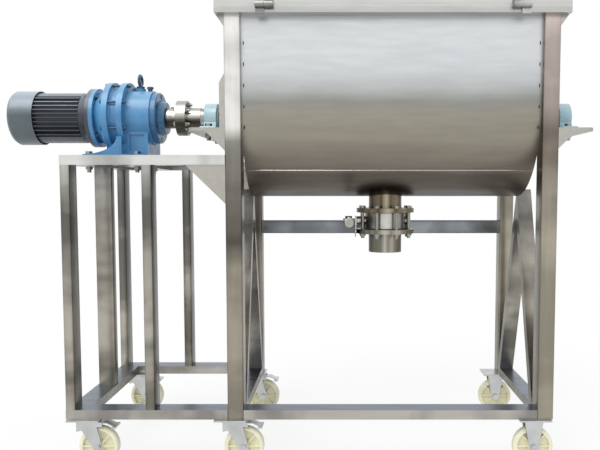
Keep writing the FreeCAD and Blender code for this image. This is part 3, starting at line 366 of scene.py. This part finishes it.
def materials():
    """One finish for each material slot, and more for the nodes that look different within a slot."""
    trough_low, trough_high = (corner[2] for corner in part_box("trough_shell"))
    posts_low, posts_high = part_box("main_posts")
    stand_low, stand_high = (corner[2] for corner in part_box("stand_posts"))
    rail_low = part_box("main_rails")[0][2]
    # The height ramps below paint a reflection into the colour of the steel: bright sky above, brown ground
    # below.
    wall = steps((0.0, 96, 90, 81), (0.13, 110, 104, 94), (0.15, 134, 126, 115), (0.25, 143, 136, 124),
                 (0.32, 157, 152, 138), (0.46, 160, 156, 143), (0.53, 155, 155, 150), (0.61, 192, 195, 195),
                 (0.70, 217, 221, 223), (1.0, 232, 236, 238))
    # near and far paint the reflection on the posts, with a dark painted horizon band part way up; far is
    # used beyond the middle
    near = steps((0.0, 162, 155, 141), (0.32, 172, 164, 149), (0.38, 174, 167, 152), (0.445, 104, 98, 90),
                 (0.50, 116, 110, 102), (0.62, 140, 136, 128), (0.70, 158, 155, 148), (0.735, 240, 238, 233),
                 (1.0, 252, 250, 246))
    far = steps((0.0, 170, 163, 147), (0.45, 178, 171, 154), (0.60, 156, 148, 136), (0.66, 134, 124, 114),
                (0.72, 146, 137, 128), (0.78, 202, 188, 180), (1.0, 220, 206, 199))
    stand = steps((0.0, 182, 176, 164), (0.35, 186, 181, 169), (0.6, 172, 168, 158), (0.8, 160, 157, 149),
                  (0.9, 172, 170, 164), (1.0, 200, 200, 195))
    rail = steps((0.0, 186, 182, 176), (0.3, 180, 177, 170), (0.6, 150, 156, 161), (0.75, 152, 157, 161),
                 (0.95, 218, 220, 215), (1.0, 224, 226, 221))
    upright = (1, 1, 0.12)
    middle = (posts_low[0] + posts_high[0]) / 2
    # painted reflection tint for the faces of the rails that look up
    tops = (118, 126, 138)
    return {
        # sides and under below set the painted shade on faces that look along X and down
        "frame_steel": stainless("stand_tube", stand, stand_low, stand_high, upright, sides=0.34, under=0.5,
                                 cloud=0.42, spread=(0.5, 0.5, 1.0)),
        "posts": stainless("post_tube", near, posts_low[2], posts_high[2], upright, sides=0.5, under=0.5,
                           far=(middle, far), cloud=0.70, spread=(0.5, 0.5, 0.8)),
        "rails": stainless("rail_tube", rail, rail_low, stand_high, (0.12, 1, 1), sides=0.5, under=0.5,
                           top=tops, cloud=0.58, spread=(0.8, 0.5, 0.5)),
        # plates: painted reflection by height, with a lighter painted tint on faces that look up
        "plates": stainless("cut_plate", steps((0.0, 168, 164, 155), (1.0, 196, 194, 187)), stand_low,
                            posts_high[2], sides=0.7, under=0.45, top=(226, 228, 226)),
        # rim: painted reflection by height, with a painted tint on faces that look up
        "rim": stainless("rim_sheet", steps((0.0, 196, 197, 192), (0.5, 214, 215, 211), (1.0, 206, 208, 205)),
                         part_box("rim_frame")[0][2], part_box("lid_panel")[1][2], (0.12, 1, 1), sides=0.7,
                         top=(214, 218, 220)),
        "trough_steel": stainless("trough_sheet", wall, trough_low, trough_high, (0.15, 1, 1), roughness=0.34,
                                  sides=0.8, under=0.9, cloud=0.94, spread=(0.12, 0.4, 1.0)),
        "agitator_steel": plain_metal("ground_bar", (176, 174, 170)),
        # painted reflection bands on the turned steel, dark below and bright above
        "machined_steel": banded("turned_steel", "Z", (
            (0.0, 92, 88, 80), (0.28, 70, 66, 60), (0.42, 110, 106, 98), (0.52, 190, 188, 181),
            (0.62, 226, 226, 222), (1.0, 176, 177, 175))),
        "fastener_steel": plain_metal("bolt_steel", (168, 166, 158), roughness=0.32),
        # painted reflection bands across the spout, the brown neck and the valve
        "spout": banded("brushed_spout", "X", (
            (0.0, 84, 80, 70), (0.18, 160, 156, 142), (0.32, 122, 116, 102), (0.46, 196, 193, 182),
            (0.56, 150, 144, 130), (0.7, 184, 180, 168), (0.85, 128, 120, 106), (1.0, 90, 84, 74)),
            roughness=0.34, grain=(1, 1, 0.06), low=0.74),
        "neck": banded("brown_neck_painted_reflection", "X", (
            (0.0, 70, 60, 50), (0.2, 150, 138, 120), (0.36, 92, 76, 60), (0.5, 186, 176, 156),
            (0.64, 104, 86, 68), (0.8, 166, 154, 134), (1.0, 72, 62, 52)),
            roughness=0.32, grain=(1, 1, 0.08), low=0.7),
        "valve": banded("valve_steel", "X", (
            (0.0, 112, 110, 104), (0.25, 190, 190, 184), (0.5, 214, 213, 206), (0.75, 186, 186, 180),
            (1.0, 108, 106, 100)), roughness=0.32),
        # the enamels below lighten their faces that look up towards pale, painted light from above
        "gearbox_blue": enamel("blue_enamel", (84, 148, 194), (60, 122, 168), painted_top_light=0.55,
                               pale=(150, 198, 230)),
        # the gearbox blue made darker for the cap, painted shade
        "cap_blue": enamel("shaded_enamel", (56, 112, 156), (40, 88, 128), painted_top_light=0.5, pale=(120, 172, 212)),
        "bolt_blue": enamel("painted_bolts", (44, 82, 116), (34, 64, 94), painted_top_light=0.3, pale=(96, 140, 176)),
        "motor_grey": enamel("motor_enamel", (62, 68, 74), (50, 55, 60), roughness=0.4, painted_top_light=0.85,
                             pale=(140, 152, 160)),
        "cover_grey": enamel("cover_enamel", (86, 97, 102), (74, 84, 89), roughness=0.34, lumps=0.1,
                             painted_top_light=0.95, pale=(178, 191, 203)),
        "bearing_paint": enamel("bearing_enamel", (186, 214, 222), (150, 190, 204), painted_top_light=0.5,
                                pale=(206, 228, 236)),
        "zinc_plate": plain_metal("zinc", (206, 209, 208), roughness=0.32),
        "nylon": moulded("cream_nylon", (238, 235, 208), (226, 219, 182)),
        "seal_rubber": moulded("black_rubber", (34, 34, 34), (26, 26, 26), roughness=0.6),
        "white_rubber": moulded("white_rubber", (206, 206, 200), (190, 190, 184), roughness=0.6),
        "brown_plastic": moulded("brown_plug", (94, 56, 34), (74, 44, 26), roughness=0.35),
        "weld": plain_metal("weld_bead", (214, 211, 203), roughness=0.3, spots=0.75, scale=180.0),
        "burnt_weld": plain_metal("burnt_weld", (82, 75, 67), roughness=0.45, spots=0.6, scale=160.0),
    }


# ---------------------------------------------------------------- pieces made from the frame's own solids

def islands(bm):
    """The separate closed shells of a mesh, as lists of faces."""
    left = set(bm.faces)
    groups = []
    while left:
        seed = left.pop()
        group, edge = [seed], [seed]
        while edge:
            face = edge.pop()
            for side in face.edges:
                for other in side.link_faces:
                    if other in left:
                        left.remove(other)
                        group.append(other)
                        edge.append(other)
        groups.append(group)
    return groups


def corners_of(faces):
    points = [v.co for face in faces for v in face.verts]
    low = Vector([min(p[i] for p in points) for i in range(3)])
    high = Vector([max(p[i] for p in points) for i in range(3)])
    return low, high


def drop_cavities(bm):
    """Deletes the inside faces of closed tubes."""
    shells = [(corners_of(group), group) for group in islands(bm)]
    for (low, high), group in shells:
        for (outer_low, outer_high), other in shells:
            inside = all(outer_low[i] < low[i] - INSIDE and high[i] + INSIDE < outer_high[i]
                         for i in range(3))
            if other is not group and inside and len(group) <= CAVITY_FACES:
                bmesh.ops.delete(bm, geom=group, context="FACES")
                break


def shade(bm):
    """Smooth faces, with crisp edges where the surface turns sharply."""
    for face in bm.faces:
        face.smooth = True
    for edge in bm.edges:
        edge.smooth = len(edge.link_faces) == 2 and edge.calc_face_angle(0) < SHARP


def piece(name, bm, body, material, replaces=()):
    """Turns a finished bmesh into a piece that rides on a body."""
    mesh = bpy.data.meshes.new(name)
    shade(bm)
    bm.to_mesh(mesh)
    bm.free()
    mesh.materials.append(material)
    made = bpy.data.objects.new(name, mesh)
    bpy.context.collection.objects.link(made)
    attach(made, body)
    if replaces:
        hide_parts(*replaces)
    return made


def volume(faces):
    """The volume inside a closed shell of faces."""
    total = 0.0
    for face in faces:
        points = [v.co for v in face.verts]
        for second, third in zip(points[1:], points[2:]):
            total += points[0].dot(second.cross(third)) / 6
    return abs(total)


def rounded_tube(bm, low, high, radius):
    """A straight tube from corner to corner, with its long edges rounded."""
    size = high - low
    long_way = max(range(3), key=lambda i: size[i])
    place = Matrix.Translation((low + high) / 2) @ Matrix.Diagonal(size.to_4d())
    made = bmesh.ops.create_cube(bm, size=1.0, matrix=place)["verts"]
    edges = {edge for vert in made for edge in vert.link_edges}
    longs = [e for e in edges if abs((e.verts[0].co - e.verts[1].co)[long_way]) > size[long_way] / 2]
    bmesh.ops.bevel(bm, geom=longs, offset=radius, segments=3, profile=0.5, affect="EDGES")


def dressed(node, material, tubes=False):
    """A copy of a CAD node in its finish; straight square tubes get rounded long edges."""
    bm = bmesh.new()
    bm.from_mesh(frame["nodes"][node].data)
    bmesh.ops.remove_doubles(bm, verts=bm.verts, dist=MERGE)
    if tubes:
        drop_cavities(bm)
        straight = []
        for group in islands(bm):
            low, high = corners_of(group)
            size = high - low
            if volume(group) > TUBE_FILL * size[0] * size[1] * size[2]:
                straight.append((low, high, group))
        spent = [face for low, high, group in straight for face in group]
        bmesh.ops.delete(bm, geom=spent, context="FACES")
        for low, high, group in straight:
            rounded_tube(bm, low, high, TUBE_CORNER)
    return piece(node + "_dressed", bm, BODY_OF[node], material, (node,))


def skin(bm, sections):
    """A closed surface through sections of as many points each, with both ends capped."""
    rings = [[bm.verts.new(point) for point in section] for section in sections]
    made = [bm.faces.new((one[i - 1], one[i], two[i], two[i - 1]))
            for one, two in zip(rings, rings[1:]) for i in range(len(one))]
    made += [bm.faces.new(list(reversed(rings[0]))), bm.faces.new(rings[-1])]
    bmesh.ops.recalc_face_normals(bm, faces=made)


def barrel_outline(radius):
    """The section of a finned motor barrel: level fins on both sides, smooth crowns above and below."""
    core, crown = BARREL_CORE * radius, BARREL_CROWN * radius
    reach = BARREL_REACH * radius
    side = []
    for i in range(MOTOR_FINS):
        level = -reach + 2 * reach * i / (MOTOR_FINS - 1)
        for z, edge in ((level - FIN_THICK / 2, core), (level - FIN_THICK / 2, radius),
                        (level + FIN_THICK / 2, radius), (level + FIN_THICK / 2, core)):
            side.append((math.sqrt(edge * edge - z * z), z))
    start = math.asin(CROWN_START)
    turns = [start + (math.pi - 2 * start) * i / CROWN_STEPS for i in range(CROWN_STEPS + 1)]
    over = [(crown * math.cos(turn), crown * math.sin(turn)) for turn in turns]
    mirror = [(-y, z) for y, z in reversed(side)]
    under = [(-y, -z) for y, z in over]
    return side + over + mirror + under


def motor_barrel():
    """The finned barrel between the end bell and the fan cover."""
    low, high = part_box("motor_body")
    cover_low, cover_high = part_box("fan_cover")
    middle_y, middle_z = ((cover_low[i] + cover_high[i]) / 2 for i in (1, 2))
    radius = BARREL_PLAY * min(cover_high[2] - cover_low[2], high[2] - low[2]) / 2
    bm = bmesh.new()
    outline = barrel_outline(radius)
    skin(bm, [[Vector((x, middle_y + y, middle_z + z)) for y, z in outline] for x in (low[0], high[0])])
    piece("motor_barrel", bm, BODY_OF["motor_body"], FINISHES["motor_grey"], ("motor_body",))


def pedestal_webs():
    """The webs that sweep from the end of the gear case foot up to its ring flange, one on each side."""
    low, high = (Vector(corner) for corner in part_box("gearbox_housing"))
    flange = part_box("gearbox_ring")[1][0]
    middle = (low.y + high.y) / 2
    base = low.z + WEB_BASE
    foot = low.x + WEB_INSET
    bm = bmesh.new()
    for side in (-1, 1):
        outer = middle + side * ((high.y - low.y) / 2 - WEB_INSET)
        inner = outer - side * WEB_THICK
        sweep = [math.pi / 2 * i / WEB_STEPS for i in range(WEB_STEPS + 1)]
        curve = [(foot + (flange - foot) * math.sin(a), base + WEB_LIP + WEB_HEIGHT * (1 - math.cos(a)))
                 for a in sweep]
        outline = [(foot, base)] + curve + [(flange + WEB_LAND, curve[-1][1]), (flange + WEB_LAND, base)]
        skin(bm, [[Vector((x, y, z)) for x, z in outline] for y in (inner, outer)])
    piece("pedestal_webs", bm, BODY_OF["gearbox_housing"], FINISHES["gearbox_blue"])


def bead(bm, start, end, radius):
    """A run of weld between two points, thinner at both ends."""
    line = end - start
    turn = line.to_track_quat("Z", "Y").to_matrix()
    tip = min(2 * radius, line.length / 4)
    turns = [math.tau * i / BEAD_SIDES for i in range(BEAD_SIDES)]
    rings = ((0, radius / 3), (tip, radius), (line.length - tip, radius), (line.length, radius / 3))
    skin(bm, [[start + turn @ Vector((r * math.cos(a), r * math.sin(a), at)) for a in turns]
              for at, r in rings])


def trough_welds():
    """The long seam low on each side of the trough, and the stitches between the trough and its posts."""
    low, high = (Vector(corner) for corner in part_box("trough_shell"))
    radius = (high.y - low.y) / 2
    middle = Vector(((low.x + high.x) / 2, (low.y + high.y) / 2, low.z + radius))
    seam = bmesh.new()
    drop = radius - SEAM_RISE
    out = math.sqrt(radius * radius - drop * drop)
    for side in (-1, 1):
        y, z = middle.y + side * out, middle.z - drop
        bead(seam, Vector((low.x + BEAD, y, z)), Vector((high.x - BEAD, y, z)), BEAD)
    piece("trough_seams", seam, BODY_OF["trough_shell"], FINISHES["weld"])
    stitches = bmesh.new()
    for side in (-1, 1):
        y = middle.y + side * (radius + BEAD / 2)
        for x in (low.x + BEAD, high.x - BEAD):
            z = middle.z - STITCH_STEP
            while z < high.z - STITCH_STEP:
                bead(stitches, Vector((x, y, z)), Vector((x, y, z + STITCH)), BEAD)
                z += STITCH_STEP
    piece("trough_stitches", stitches, BODY_OF["trough_shell"], FINISHES["burnt_weld"])


TUBES = ("main_posts", "main_rails", "main_struts", "stand_posts", "stand_rails")
# The nodes that don't wear the plain finish of their slot.
LOOKS = {
    "main_posts": "posts", "main_rails": "rails", "stand_rails": "rails",
    "gusset_plates": "plates", "bearing_shelves": "plates", "rim_frame": "rim", "lid_panel": "rim",
    "discharge_spout": "spout", "outlet_neck": "neck", "valve_body": "valve",
    "gearbox_cap": "cap_blue", "gearbox_bolts": "bolt_blue", "eye_bolt": "bolt_blue",
    "breather_plug": "bolt_blue",
}

camera()
studio()
FINISHES = materials()
motor_barrel()
trough_welds()
pedestal_webs()
for node in sorted(frame["nodes"]):
    if node != "motor_body":
        dressed(node, FINISHES[LOOKS.get(node, SLOT_OF[node])], tubes=node in TUBES)

bpy.context.scene.view_settings.view_transform = "Standard"
